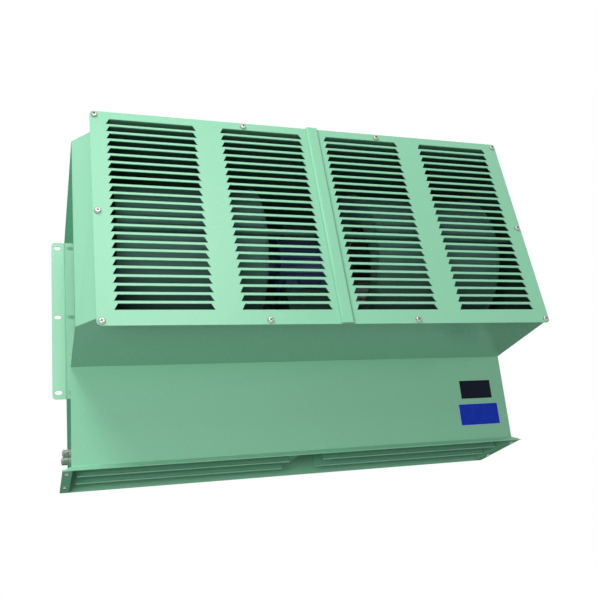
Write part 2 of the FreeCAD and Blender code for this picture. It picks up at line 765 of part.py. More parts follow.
def blade():
    """One forward-curved blade of the right wheel."""
    inner = WHEEL_R - BLADE_DEPTH
    middle = WHEEL_R - BLADE_DEPTH / 2
    turn = math.radians(BLADE_SWEEP)
    bow = math.radians(BLADE_MID_SWEEP)
    thick = BLADE_SHEET / WHEEL_R
    x = WHEEL_X - WHEEL_HALF

    def at(radius, angle):
        return Vector(x, AXIS_Y + radius * math.cos(angle), AXIS_Z + radius * math.sin(angle))

    def camber(shift):
        points = [at(inner, shift), at(middle, shift - bow), at(WHEEL_R, shift - turn)]
        return Part.Arc(*points).toShape()

    faces = [camber(0), camber(thick)]
    wire = Part.Wire(Part.sortEdges(faces + closing(faces[:1], faces[1:]))[0])
    return Part.Face(wire).extrude(X_AXIS * (2 * WHEEL_HALF))


def impeller():
    """Right wheel: blades between two end rings, carried by a middle disc."""
    inner = WHEEL_R - BLADE_DEPTH
    half = WHEEL_SHEET / 2
    pieces = [ring("x", WHEEL_R, SHAFT_R + HOLE_CLEARANCE, AXIS_Y, AXIS_Z, WHEEL_X - half, WHEEL_X + half)]
    for start in (WHEEL_X - WHEEL_HALF, WHEEL_X + WHEEL_HALF - WHEEL_SHEET):
        pieces.append(ring("x", WHEEL_R, inner, AXIS_Y, AXIS_Z, start, start + WHEEL_SHEET))
    pattern = blade()
    for i in range(BLADE_COUNT):
        pieces.append(pattern.rotated(Vector(0, AXIS_Y, AXIS_Z), X_AXIS, 360.0 * i / BLADE_COUNT))
    return fuse(pieces)


def hub_start():
    return WHEEL_X - WHEEL_SHEET / 2 - HUB_FLANGE - HUB_LENGTH


def impeller_hub():
    """Right wheel's hub, flanged against the disc, with a tapped hole for its set screw."""
    end = WHEEL_X - WHEEL_SHEET / 2
    body = fuse([
        rod("x", HUB_R, AXIS_Y, AXIS_Z, hub_start(), end),
        rod("x", HUB_FLANGE_R, AXIS_Y, AXIS_Z, end - HUB_FLANGE, end),
    ])
    body = body.cut(rod("x", SHAFT_R + RUNNING_FIT, AXIS_Y, AXIS_Z, hub_start(), end))
    return body.cut(rod("z", SET_SCREW_R + RUNNING_FIT, set_screw_x(), AXIS_Y, AXIS_Z, AXIS_Z + 2 * HUB_R))


def set_screw_x():
    return hub_start() + HUB_LENGTH / 2


def hub_set_screws():
    """Set screws that clamp both hubs to the shaft."""
    low = AXIS_Z + SHAFT_R + RUNNING_FIT
    screw = rod("z", SET_SCREW_R, set_screw_x(), AXIS_Y, low, AXIS_Z + HUB_R)
    return Part.makeCompound([screw, mirrored(screw)])


# Motor
def motor_frame():
    """Ribbed motor body with two feet."""
    end = MOTOR_LENGTH / 2 - SHIELD_THICK
    tube_r = MOTOR_R - MOTOR_RIB
    bore_r = tube_r - MOTOR_WALL
    foot_z = AXIS_Z - SHAFT_HEIGHT
    pieces = [rod("x", tube_r, AXIS_Y, AXIS_Z, -end, end)]
    fan = MOTOR_RIB_STEP * (MOTOR_RIBS_PER_SIDE - 1) / 2
    for i in range(MOTOR_RIBS_PER_SIDE):
        rib = block(
            (-end, end),
            (AXIS_Y + tube_r - MOTOR_WALL / 2, AXIS_Y + MOTOR_R),
            (AXIS_Z - MOTOR_RIB_THICK / 2, AXIS_Z + MOTOR_RIB_THICK / 2),
        )
        for side in (0, 180):
            angle = side - fan + i * MOTOR_RIB_STEP
            pieces.append(rib.rotated(Vector(0, AXIS_Y, AXIS_Z), X_AXIS, angle))
    for x in foot_places():
        across = (x - FOOT_WIDTH / 2, x + FOOT_WIDTH / 2)
        sole = (AXIS_Y - FOOT_REACH, AXIS_Y + FOOT_REACH)
        pieces.append(block(across, sole, (foot_z, foot_z + FOOT_THICK)))
        web = (AXIS_Y - FOOT_WEB_REACH, AXIS_Y + FOOT_WEB_REACH)
        pieces.append(block(across, web, (foot_z + FOOT_THICK / 2, AXIS_Z - tube_r / 2)))
    frame = fuse(pieces).cut(rod("x", bore_r, AXIS_Y, AXIS_Z, -end, end))
    for x, y in foot_bolt_places():
        frame = frame.cut(rod("z", FOOT_BOLT_R + HOLE_CLEARANCE, x, y, foot_z, foot_z + FOOT_THICK))
    return frame


def foot_places():
    return (-FOOT_SPAN / 2, FOOT_SPAN / 2)


def foot_bolt_places():
    reach = FOOT_REACH - FOOT_BOLT_INSET
    return [(x, AXIS_Y + y) for x in foot_places() for y in (-reach, reach)]


def motor_bolts():
    """Bolts and nuts that hold the motor's feet to its cradle."""
    seat = AXIS_Z - SHAFT_HEIGHT + FOOT_THICK
    under = AXIS_Z - SHAFT_HEIGHT - CRADLE_SHEET
    pieces = []
    for x, y in foot_bolt_places():
        head = hexagon("z", NUT_FLATS, x, y, seat, seat + LOCKNUT_THICK)
        shank = rod("z", FOOT_BOLT_R, x, y, under - NUT_THICK - SHEET, seat)
        nut = hexagon("z", NUT_FLATS, x, y, under - NUT_THICK, under)
        nut = nut.cut(rod("z", FOOT_BOLT_R + RUNNING_FIT, x, y, under - NUT_THICK, under))
        pieces += [fuse([head, shank]), nut]
    return Part.makeCompound(pieces)


def motor_cradle():
    """Folded stand between the box floor and the motor's feet."""
    reach = FOOT_REACH + CRADLE_OVER
    top = AXIS_Z - SHAFT_HEIGHT
    path = [
        (AXIS_Y - reach - CRADLE_FLANGE, FLOOR_INSIDE + CRADLE_SHEET),
        (AXIS_Y - reach, FLOOR_INSIDE + CRADLE_SHEET),
        (AXIS_Y - reach, top),
        (AXIS_Y + reach, top),
        (AXIS_Y + reach, FLOOR_INSIDE + CRADLE_SHEET),
        (AXIS_Y + reach + CRADLE_FLANGE, FLOOR_INSIDE + CRADLE_SHEET),
    ]
    cradle = folded("x", path[::-1], CRADLE_SHEET, -CRADLE_WIDTH / 2, CRADLE_WIDTH / 2)
    for x, y in foot_bolt_places():
        cradle = cradle.cut(rod("z", FOOT_BOLT_R + HOLE_CLEARANCE, x, y, top - 2 * CRADLE_SHEET, top))
    return cradle


def stator_core():
    """Laminated ring inside the motor body."""
    outer = MOTOR_R - MOTOR_RIB - MOTOR_WALL - RUNNING_FIT
    return ring("x", outer, ROTOR_R + AIR_GAP, AXIS_Y, AXIS_Z, -CORE_LENGTH / 2, CORE_LENGTH / 2)


def motor_end_shield():
    """Right end cover of the motor, with the bearing's seat."""
    start = MOTOR_LENGTH / 2 - SHIELD_THICK
    end = MOTOR_LENGTH / 2
    web = fuse([
        rod("x", MOTOR_R, AXIS_Y, AXIS_Z, start, start + SHIELD_WEB),
        rod("x", SHIELD_BOSS_R, AXIS_Y, AXIS_Z, start, end),
    ])
    seat_end = start + BEARING_WIDTH
    web = web.cut(rod("x", BEARING_R + RUNNING_FIT, AXIS_Y, AXIS_Z, start, seat_end))
    return web.cut(rod("x", SHAFT_R + 4 * HOLE_CLEARANCE, AXIS_Y, AXIS_Z, start, end))


def motor_bearing():
    """Right ball bearing."""
    start = MOTOR_LENGTH / 2 - SHIELD_THICK
    return ring("x", BEARING_R, SHAFT_R + RUNNING_FIT, AXIS_Y, AXIS_Z, start, start + BEARING_WIDTH)


def motor_shaft():
    """Shaft through the motor, out to both wheels."""
    reach = WHEEL_X + SHAFT_OVERHANG
    return rod("x", SHAFT_R, AXIS_Y, AXIS_Z, -reach, reach)


def rotor_core():
    """Rotor inside the stator, on the shaft."""
    return ring("x", ROTOR_R, SHAFT_R + RUNNING_FIT, AXIS_Y, AXIS_Z, -CORE_LENGTH / 2, CORE_LENGTH / 2)


def terminal_box():
    """Open box on top of the motor body."""
    half_x = TERMINAL_WIDTH / 2
    half_y = TERMINAL_DEPTH / 2
    tube_r = MOTOR_R - MOTOR_RIB
    low = AXIS_Z + tube_r / 2
    high = AXIS_Z + tube_r + TERMINAL_HEIGHT
    box = block((-half_x, half_x), (AXIS_Y - half_y, AXIS_Y + half_y), (low, high))
    inner_x = half_x - TERMINAL_WALL
    inner_y = half_y - TERMINAL_WALL
    hollow_low = AXIS_Z + tube_r + TERMINAL_WALL
    box = box.cut(block((-inner_x, inner_x), (AXIS_Y - inner_y, AXIS_Y + inner_y), (hollow_low, high)))
    return box.cut(rod("x", tube_r + RUNNING_FIT, AXIS_Y, AXIS_Z, -TERMINAL_WIDTH, TERMINAL_WIDTH))


def terminal_box_lid():
    """Lid of the terminal box."""
    half_x = TERMINAL_WIDTH / 2
    half_y = TERMINAL_DEPTH / 2
    low = AXIS_Z + MOTOR_R - MOTOR_RIB + TERMINAL_HEIGHT
    return block((-half_x, half_x), (AXIS_Y - half_y, AXIS_Y + half_y), (low, low + TERMINAL_LID))


# Vanes, on the right half
def vane_span():
    return POST_WIDTH / 2 + VANE_POST_GAP, INNER - VANE_END_GAP


def vane(y):
    """Outlet vane: a hemmed blade on a pivot tube."""
    start, end = vane_span()
    low = OUTLET_Z + VANE_RECESS + VANE_HEM_R
    high = low + VANE_CHORD - 2 * VANE_HEM_R
    half = VANE_SHEET / 2
    pieces = [block((start, end), (y - half, y + half), (low, high))]
    for z in (low, high):
        pieces.append(rod("x", VANE_HEM_R, y, z, start, end))
    pieces.append(rod("x", VANE_TUBE_R, y, PIVOT_Z, start, end))
    return fuse(pieces).cut(rod("x", PIVOT_R + RUNNING_FIT, y, PIVOT_Z, start, end))


def pivot_pins(y):
    """Threaded stud at the vane's outer end and plain pin at its inner end."""
    start, end = vane_span()
    stud = rod("x", PIVOT_R, y, PIVOT_Z, end - PIVOT_GRIP, HALF + PIVOT_PROUD)
    pin = rod("x", PIVOT_R, y, PIVOT_Z, POST_WIDTH / 2 - 2 * POST_SHEET, start + PIVOT_GRIP)
    return Part.makeCompound([stud, pin])


def pivot_nuts(y):
    """Washer, nut and lock nut on the stud, outside the casing."""
    bore = PIVOT_R + RUNNING_FIT
    washer_start = HALF + WASHER_GAP
    nut_start = washer_start + WASHER_THICK
    lock_start = nut_start + NUT_THICK
    washer = ring("x", WASHER_R, bore, y, PIVOT_Z, washer_start, nut_start)
    pieces = [washer]
    for start, end in ((nut_start, lock_start), (lock_start, lock_start + LOCKNUT_THICK)):
        nut = hexagon("x", NUT_FLATS, y, PIVOT_Z, start, end)
        pieces.append(nut.cut(rod("x", bore, y, PIVOT_Z, start, end)))
    return Part.makeCompound(pieces)


def build():
    """Make every node, and write each to its own file."""
    os.makedirs("parts", exist_ok=True)
    nodes = {
        "back_panel": back_panel(),
        "top_panel": top_panel(),
        "box_floor": box_floor(),
        "duct_front_plate": duct_front_plate(),
        "end_strip_screws": end_strip_screws(),
        "outlet_centre_post": outlet_centre_post(),
        "centre_mullion": centre_mullion(),
        "cross_rail": cross_rail(),
        "panel_joint_strip": panel_joint_strip(),
        "panel_screws": panel_screws(),
        "upper_plate": bare_plate(UPPER_PLATE_WIDTH, UPPER_PLATE_HEIGHT, UPPER_PLATE_SIDE, UPPER_PLATE_DOWN),
        "lower_plate": bare_plate(LOWER_PLATE_WIDTH, LOWER_PLATE_HEIGHT, LOWER_PLATE_SIDE, LOWER_PLATE_DOWN),
        "motor_frame": motor_frame(),
        "motor_bolts": motor_bolts(),
        "motor_cradle": motor_cradle(),
        "stator_core": stator_core(),
        "terminal_box": terminal_box(),
        "terminal_box_lid": terminal_box_lid(),
        "cable_grommet": cable_grommet(),
        "motor_shaft": motor_shaft(),
        "rotor_core": rotor_core(),
        "hub_set_screws": hub_set_screws(),
    }
    for name, bar in frame_bars().items():
        nodes["frame_bar_" + name] = bar
    right_pieces = {
        "side_panel": side_panel(),
        "outlet_end_strip": outlet_end_strip(),
        "intake_panel": intake_panel(),
        "scroll_wrap": scroll_wrap(),
        "scroll_inner_side": scroll_side(SCROLL_NEAR_X, 1),
        "scroll_outer_side": scroll_side(SCROLL_FAR_X, -1),
        "motor_end_shield": motor_end_shield(),
        "motor_bearing": motor_bearing(),
        "impeller": impeller(),
        "impeller_hub": impeller_hub(),
    }
    for place, y in VANE_PLACES.items():
        right_pieces["vane_" + place] = vane(y)
        right_pieces["pivot_pins_" + place] = pivot_pins(y)
        right_pieces["pivot_nuts_" + place] = pivot_nuts(y)
    for name, piece in right_pieces.items():
        nodes[name + "_right"] = piece
        nodes[name + "_left"] = mirrored(piece)
    for name, shape in nodes.items():
        export(name, shape)


build()
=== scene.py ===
import math

import bmesh
import bpy
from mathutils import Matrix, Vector


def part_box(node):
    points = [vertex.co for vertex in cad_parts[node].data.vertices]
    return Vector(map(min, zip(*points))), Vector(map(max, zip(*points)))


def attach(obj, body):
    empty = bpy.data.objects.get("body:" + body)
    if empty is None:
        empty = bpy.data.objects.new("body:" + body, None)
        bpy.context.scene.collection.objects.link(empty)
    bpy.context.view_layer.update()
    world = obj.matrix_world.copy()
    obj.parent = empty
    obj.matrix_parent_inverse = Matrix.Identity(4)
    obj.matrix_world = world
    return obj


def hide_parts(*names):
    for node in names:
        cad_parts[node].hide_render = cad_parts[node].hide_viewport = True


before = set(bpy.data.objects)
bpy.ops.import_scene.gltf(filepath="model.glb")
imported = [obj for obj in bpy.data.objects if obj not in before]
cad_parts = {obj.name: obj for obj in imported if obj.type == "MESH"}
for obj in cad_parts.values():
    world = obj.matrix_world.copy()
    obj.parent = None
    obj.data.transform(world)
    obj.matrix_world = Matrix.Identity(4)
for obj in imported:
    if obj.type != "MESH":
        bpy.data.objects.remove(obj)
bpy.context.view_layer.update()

# Wall-hung air curtain, in metres, in the frame of the solids.

# Photograph's camera
CAMERA_PLACE = (-0.5109, -1.4947, -0.7073)
CAMERA_TURN = (115.40, 8.43, -17.67)
CAMERA_LENS = 44.86
SENSOR_WIDTH = 36.0
CLIP_START = 0.01

# Studio
FLOOR_HEIGHT = -1.0
FLOOR_SIZE = 10.0
FLOOR_FADE = (1.0, 2.4)
FLOOR_SEEN = (0.90, 0.90, 0.90)
FLOOR_LIGHT = (0.42, 0.42, 0.42)
ROOM_LIGHT = 0.16
LAMP_AIM = (-0.05, -0.30, -0.05)

# Soft lamps: place, width and height, power, and whether the gloss shows them
LAMPS = {
    "key_softbox": ((-1.25, -1.67, 1.75), (1.0, 1.0), 56.0, False),
    "sheen_softbox": ((-0.05, -2.4, 1.05), (1.2, 1.2), 13.0, True),
    "low_softbox": ((-1.3, -2.4, -0.62), (1.5, 0.6), 43.0, False),
    "back_softbox": ((0.7, 2.4, 0.9), (1.6, 1.6), 34.0, False),
    "right_softbox": ((2.4, 0.3, 0.6), (1.4, 1.4), 34.0, False),
}

# Dark cards: place, width and height, colour
FLAGS = {
    "left_flag": ((-0.80, 0.40, 0.30), (1.8, 1.8), (0.02, 0.16, 0.07)),
    "right_flag": ((1.90, 0.70, -0.60), (2.2, 0.8), (0.01, 0.06, 0.02)),
}

# Colours and coats
MINT = (0.185, 0.445, 0.287)
# The scrolls' green paint, darkened as painted shade of the dark inside.
BLOWER_SHADE_GREEN = (0.060, 0.140, 0.118)
MOTOR_BLUE = (0.035, 0.060, 0.130)
# Painted shade: a dark green for the faces inside the casing and the motor cradle, where little light gets
# in.
INSIDE_SHADE_GREEN = (0.020, 0.055, 0.038)
# Painted shade: a dark green for the frame bars and mullion in the dark behind the louvres.
FRAME_SHADE_GREEN = (0.045, 0.120, 0.075)
# Painted shade: mint darkened for the cross rail in the dark inside.
RAIL_SHADE_GREEN = (0.085, 0.215, 0.165)
# Painted shade: mint darkened for the outlet's strips and vanes, which lie in shade.
OUTLET_SHADE_GREEN = (0.145, 0.390, 0.240)
CASING_ROUGH = 0.26
SIDE_ROUGH = 0.11
CASING_GLOSS = 0.50
DULL_COAT = (0.45, 0.3)
MOTOR_COAT = (0.28, 0.5)
ROUGH_SPREAD = 0.015
ROUGH_GRAIN = 260.0
PEEL_GRAIN = 330.0
PEEL_STRENGTH = 0.004
PEEL_HEIGHT = 0.0003
NOISE_LOW = 0.3
NOISE_HIGH = 0.7
PLATE_BLACK = (0.003, 0.006, 0.016)
PLATE_BLUE = (0.008, 0.032, 0.380)
PLATE_EDGE = (0.30, 0.42, 0.62)
BLACK_EDGE_SHADE = 0.45
BLACK_BORDER = 0.0030
BLUE_BORDER = 0.0012
PLATE_GLOSS = 0.11
PLATING = (0.52, 0.53, 0.50)
BRIGHT_ROUGH = 0.16
THREAD_ROUGH = 0.20
STEEL = (0.50, 0.51, 0.53)
STEEL_ROUGH = 0.25
ZINC = (0.52, 0.54, 0.56)
ZINC_ROUGH = 0.30

# Room inside the casing's sheets, to the middle of their thickness
ROOM_SIDE = 0.4492
ROOM_BACK = -0.0008
ROOM_TOP = 0.1812
ROOM_FLOOR = -0.1872
ROOM_BEVEL = 0.8109

# Fasteners
PAN_HEAD_R = 0.0060
PAN_HEAD = 0.0038
PAN_SHANK_R = 0.0030
PAN_SHANK = 0.0090
STRIP_HEAD_R = 0.0040
STRIP_HEAD = 0.0024
STRIP_SHANK_R = 0.0020
STRIP_SHANK = 0.0070
PAN_MID = 0.139
NUT_FLATS = 0.013
NUT_THICK = 0.0065
LOCKNUT_THICK = 0.0040
WASHER_THICK = 0.0016
WASHER_R = 0.0085
RECESS_REACH = 0.50
RECESS_DEPTH = 0.70
RECESS_WIDTH = 0.30
RECESS_TIP = 0.45
PUNCH_TOP = 1.05
DOME_SHARE = 0.72
PAN_TURN = 37
STRIP_TURN = 53
ROUND_SIDES = 40
BLANK_SIDES = 48
TINY = 1e-6
THREAD_WAVES = 251.0

EDGE_ROUND = 0.0005
EDGE_ANGLE = math.radians(35)


# Material helpers
def new_finish(name):
    """Material with a principled shader, its node tree and the shader."""
    finish = bpy.data.materials.new(name)
    finish.use_nodes = True
    tree = finish.node_tree
    return finish, tree, tree.nodes["Principled BSDF"]


def noise(tree, scale, detail=3.0, stretch=(1.0, 1.0, 1.0)):
    """Noise on object coordinates, with its lumps so many to the metre."""
    place = tree.nodes.new("ShaderNodeTexCoord")
    mapping = tree.nodes.new("ShaderNodeMapping")
    mapping.inputs["Scale"].default_value = stretch
    texture = tree.nodes.new("ShaderNodeTexNoise")
    texture.inputs["Scale"].default_value = scale
    texture.inputs["Detail"].default_value = detail
    tree.links.new(place.outputs["Object"], mapping.inputs["Vector"])
    tree.links.new(mapping.outputs["Vector"], texture.inputs["Vector"])
    return texture.outputs["Fac"]


def ramp(tree, value, stops):
    """Colours or greys spread along a value."""
    node = tree.nodes.new("ShaderNodeValToRGB")
    elements = node.color_ramp.elements
    while len(elements) < len(stops):
        elements.new(0.5)
    for element, (position, colour) in zip(elements, stops):
        element.position = position
        element.color = (*colour, 1.0)
    tree.links.new(value, node.inputs["Fac"])
    return node.outputs["Color"]


def spread(tree, value, low, high):
    """The usual range of a noise drawn out between two values."""
    node = tree.nodes.new("ShaderNodeMapRange")
    node.inputs["From Min"].default_value = NOISE_LOW
    node.inputs["From Max"].default_value = NOISE_HIGH
    node.inputs["To Min"].default_value = low
    node.inputs["To Max"].default_value = high
    tree.links.new(value, node.inputs["Value"])
    return node.outputs["Result"]


def bump(tree, shader, height, strength, distance):
    """Relief of the surface from a height."""
    node = tree.nodes.new("ShaderNodeBump")
    node.inputs["Strength"].default_value = strength
    node.inputs["Distance"].default_value = distance
    tree.links.new(height, node.inputs["Height"])
    tree.links.new(node.outputs["Normal"], shader.inputs["Normal"])


def shade(colour, factor):
    """A colour made darker or lighter."""
    return tuple(channel * factor for channel in colour)


def figure(tree, operation, first, second=None):
    """One step of arithmetic on a socket and a number or another socket."""
    node = tree.nodes.new("ShaderNodeMath")
    node.operation = operation
    tree.links.new(first, node.inputs[0])
    if isinstance(second, float):
        node.inputs[1].default_value = second
    elif second is not None:
        tree.links.new(second, node.inputs[1])
    return node.outputs["Value"]


# Finishes
def cloudy(tree, colour):
    """A colour that varies a very little over the sheet."""
    stops = [(0.30, shade(colour, 0.985)), (0.55, colour), (0.75, shade(colour, 1.012))]
    return ramp(tree, noise(tree, 3.5, 4.0), stops)


def enamel(name, colour, rough, gloss):
    """Stove enamel: a little cloudy, with a fine orange-peel skin."""
    finish, tree, shader = new_finish(name)
    tree.links.new(cloudy(tree, colour), shader.inputs["Base Color"])
    patches = noise(tree, ROUGH_GRAIN)
    tree.links.new(spread(tree, patches, rough, rough + ROUGH_SPREAD), shader.inputs["Roughness"])
    bump(tree, shader, noise(tree, PEEL_GRAIN, 2.0), PEEL_STRENGTH, PEEL_HEIGHT)
    shader.inputs["Specular IOR Level"].default_value = gloss
    return finish


def enamel_and_inside_shade(name, colour, inside, rough, gloss):
    """Enamel on the outside of the casing, and painted shade on the faces in its room: a dark green where
    little light gets in.
    """
    finish = enamel(name, colour, rough, gloss)
    tree = finish.node_tree
    shader = tree.nodes["Principled BSDF"]
    outer = shader.inputs["Base Color"].links[0].from_socket
    mix = tree.nodes.new("ShaderNodeMix")
    mix.data_type = "RGBA"
    tree.links.new(in_room(tree), mix.inputs["Factor"])
    tree.links.new(outer, mix.inputs["A"])
    tree.links.new(cloudy(tree, inside), mix.inputs["B"])
    tree.links.new(mix.outputs["Result"], shader.inputs["Base Color"])
    return finish


def in_room(tree):
    """1 on faces inside the casing's room, where the painted shade goes, 0 elsewhere."""
    place = tree.nodes.new("ShaderNodeTexCoord")
    axes = tree.nodes.new("ShaderNodeSeparateXYZ")
    tree.links.new(place.outputs["Object"], axes.inputs["Vector"])
    side = figure(tree, "ABSOLUTE", axes.outputs["X"])
    tests = [
        figure(tree, "LESS_THAN", side, ROOM_SIDE),
        figure(tree, "LESS_THAN", axes.outputs["Y"], ROOM_BACK),
        figure(tree, "LESS_THAN", axes.outputs["Z"], ROOM_TOP),
        figure(tree, "GREATER_THAN", axes.outputs["Z"], ROOM_FLOOR),
        figure(tree, "LESS_THAN", figure(tree, "SUBTRACT", side, axes.outputs["Y"]), ROOM_BEVEL),
    ]
    both = tests[0]
    for test in tests[1:]:
        both = figure(tree, "MULTIPLY", both, test)
    return both


def plating(name, colour, rough):
    """Bright plating with faint polishing marks."""
    finish, tree, shader = new_finish(name)
    marks = noise(tree, 900.0, 2.0)
    stops = [(0.35, shade(colour, 0.88)), (0.65, colour)]
    tree.links.new(ramp(tree, marks, stops), shader.inputs["Base Color"])
    tree.links.new(spread(tree, marks, rough, rough + 0.08), shader.inputs["Roughness"])
    shader.inputs["Metallic"].default_value = 1.0
    return finish


def threaded(name, colour, rough):
    """Plated stud with thread ridges along it."""
    finish = plating(name, colour, rough)
    tree = finish.node_tree
    place = tree.nodes.new("ShaderNodeTexCoord")
    ridges = tree.nodes.new("ShaderNodeTexWave")
    ridges.bands_direction = "X"
    ridges.inputs["Scale"].default_value = THREAD_WAVES
    tree.links.new(place.outputs["Object"], ridges.inputs["Vector"])
    bump(tree, tree.nodes["Principled BSDF"], ridges.outputs["Fac"], 0.8, 0.0006)
    return finish


def turned_steel(name, colour, rough):
    """Turned steel, with fine rings round the shaft's axis."""
    finish, tree, shader = new_finish(name)
    rings = noise(tree, 40.0, 3.0, (60.0, 1.0, 1.0))
    stops = [(0.30, shade(colour, 0.70)), (0.70, colour)]
    tree.links.new(ramp(tree, rings, stops), shader.inputs["Base Color"])
    tree.links.new(spread(tree, rings, rough, rough + 0.15), shader.inputs["Roughness"])
    bump(tree, shader, rings, 0.10, 0.0002)
    shader.inputs["Metallic"].default_value = 1.0
    return finish


def galvanised(name):
    """Zinc-coated sheet with its spangle."""
    finish, tree, shader = new_finish(name)
    place = tree.nodes.new("ShaderNodeTexCoord")
    spangle = tree.nodes.new("ShaderNodeTexVoronoi")
    spangle.inputs["Scale"].default_value = 110.0
    tree.links.new(place.outputs["Object"], spangle.inputs["Vector"])
    stops = [(0.0, (0.30, 0.31, 0.32)), (1.0, (0.50, 0.52, 0.53))]
    tree.links.new(ramp(tree, spangle.outputs["Color"], stops), shader.inputs["Base Color"])
    tree.links.new(spread(tree, noise(tree, 60.0), 0.32, 0.48), shader.inputs["Roughness"])
    shader.inputs["Metallic"].default_value = 0.85
    return finish


def laminations(name):
    """Stacked steel sheets of the motor's core under brown varnish."""
    finish, tree, shader = new_finish(name)
    place = tree.nodes.new("ShaderNodeTexCoord")
    stack = tree.nodes.new("ShaderNodeTexWave")
    stack.bands_direction = "X"
    stack.inputs["Scale"].default_value = 320.0
    tree.links.new(place.outputs["Object"], stack.inputs["Vector"])
    stops = [(0.0, (0.020, 0.016, 0.013)), (1.0, (0.075, 0.062, 0.052))]
    tree.links.new(ramp(tree, stack.outputs["Fac"], stops), shader.inputs["Base Color"])
    bump(tree, shader, stack.outputs["Fac"], 0.3, 0.0003)
    shader.inputs["Roughness"].default_value = 0.45
    shader.inputs["Metallic"].default_value = 0.4
    return finish


def moulding(name):
    """Black moulded plastic with a fine spark-eroded grain."""
    finish, tree, shader = new_finish(name)
    grain = noise(tree, 700.0, 3.0)
    stops = [(0.35, (0.008, 0.008, 0.009)), (0.70, (0.016, 0.016, 0.018))]
    tree.links.new(ramp(tree, grain, stops), shader.inputs["Base Color"])
    tree.links.new(spread(tree, grain, 0.42, 0.55), shader.inputs["Roughness"])
    bump(tree, shader, grain, 0.2, 0.0002)
    return finish


def printed_plate(name, node, colour, edge, border):
    """Aluminium plate with one colour printed over it and a narrow border round the print."""
    finish, tree, shader = new_finish(name)
    low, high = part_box(node)
    place = tree.nodes.new("ShaderNodeTexCoord")
    axes = tree.nodes.new("ShaderNodeSeparateXYZ")
    tree.links.new(place.outputs["Object"], axes.inputs["Vector"])
    rims = []
    for axis, start, end in (("X", low.x, high.x), ("Z", low.z, high.z)):
        off_middle = figure(tree, "SUBTRACT", axes.outputs[axis], (start + end) / 2)
        distance = figure(tree, "ABSOLUTE", off_middle)
        rims.append(figure(tree, "SUBTRACT", distance, (end - start) / 2 - border))
    rim = figure(tree, "GREATER_THAN", figure(tree, "MAXIMUM", rims[0], rims[1]), 0.0)
    mix = tree.nodes.new("ShaderNodeMix")
    mix.data_type = "RGBA"
    mix.inputs["B"].default_value = (*edge, 1.0)
    grain = noise(tree, 90.0, 4.0)
    stops = [(0.35, shade(colour, 0.86)), (0.70, shade(colour, 1.10))]
    tree.links.new(rim, mix.inputs["Factor"])
    tree.links.new(ramp(tree, grain, stops), mix.inputs["A"])
    tree.links.new(mix.outputs["Result"], shader.inputs["Base Color"])
    tree.links.new(spread(tree, grain, 0.44, 0.56), shader.inputs["Roughness"])
    shader.inputs["Specular IOR Level"].default_value = PLATE_GLOSS
    return finish


def recess_painted_shade(name):
    """Painted shade in the recess of a screw: near-black metal with a fine mottle."""
    finish, tree, shader = new_finish(name)
    recess_mottle = noise(tree, 1500.0, 3.0)
    stops = [(0.35, (0.045, 0.050, 0.042)), (0.70, (0.120, 0.130, 0.110))]
    tree.links.new(ramp(tree, recess_mottle, stops), shader.inputs["Base Color"])
    tree.links.new(spread(tree, recess_mottle, 0.50, 0.70), shader.inputs["Roughness"])
    shader.inputs["Metallic"].default_value = 0.3
    return finish


def rubber(name):
    """Black moulded rubber with a dusty bloom."""
    finish, tree, shader = new_finish(name)
    bloom = noise(tree, 120.0, 4.0)
    stops = [(0.35, (0.012, 0.012, 0.012)), (0.75, (0.035, 0.034, 0.032))]
    tree.links.new(ramp(tree, bloom, stops), shader.inputs["Base Color"])
    tree.links.new(spread(tree, bloom, 0.60, 0.80), shader.inputs["Roughness"])
    bump(tree, shader, noise(tree, 1400.0, 2.0), 0.15, 0.0002)
    return finish


# Painting
def paint(finish, *names):
    """Give nodes one finish."""
    for name in names:
        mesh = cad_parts[name].data
        mesh.materials.clear()
        mesh.materials.append(finish)


def named(*starts):
    """Nodes whose names start with any of these words."""
    return [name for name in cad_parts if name.startswith(starts)]


def soften_edges(*names):
    """Break the sharp edges of sheet pieces, as paint does."""
    for name in names:
        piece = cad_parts[name]
        weld = piece.modifiers.new("weld", "WELD")
        weld.merge_threshold = 0.00001
        edge = piece.modifiers.new("edge", "BEVEL")
        edge.width = EDGE_ROUND
        edge.segments = 2
        edge.limit_method = "ANGLE"
        edge.angle_limit = EDGE_ANGLE
        edge.harden_normals = True


def paint_casing():
    """Outside sheets in mint enamel; the outlet, the front frame and the rail in darker greens that are
    painted shade.
    """
    sheets = enamel_and_inside_shade("enamel_and_inside_shade", MINT, INSIDE_SHADE_GREEN, CASING_ROUGH, CASING_GLOSS)
    paint(sheets, *named("top_panel", "back_panel", "box_floor"))
    paint(enamel_and_inside_shade("side_enamel_and_inside_shade", MINT, INSIDE_SHADE_GREEN, SIDE_ROUGH, CASING_GLOSS), *named("side_panel"))
    mint = enamel("mint_enamel", MINT, CASING_ROUGH, CASING_GLOSS)
    paint(mint, *named("duct_front", "intake_panel", "panel_joint"))
    outlet_shade_coat = enamel("outlet_painted_shade", OUTLET_SHADE_GREEN, CASING_ROUGH, CASING_GLOSS)
    paint(outlet_shade_coat, *named("outlet_", "vane_"))
    frame_shade_coat = enamel("frame_painted_shade", FRAME_SHADE_GREEN, CASING_ROUGH, CASING_GLOSS)
    paint(frame_shade_coat, *named("frame_bar", "centre_mullion"))
    paint(enamel("rail_painted_shade", RAIL_SHADE_GREEN, CASING_ROUGH, CASING_GLOSS), *named("cross_rail"))


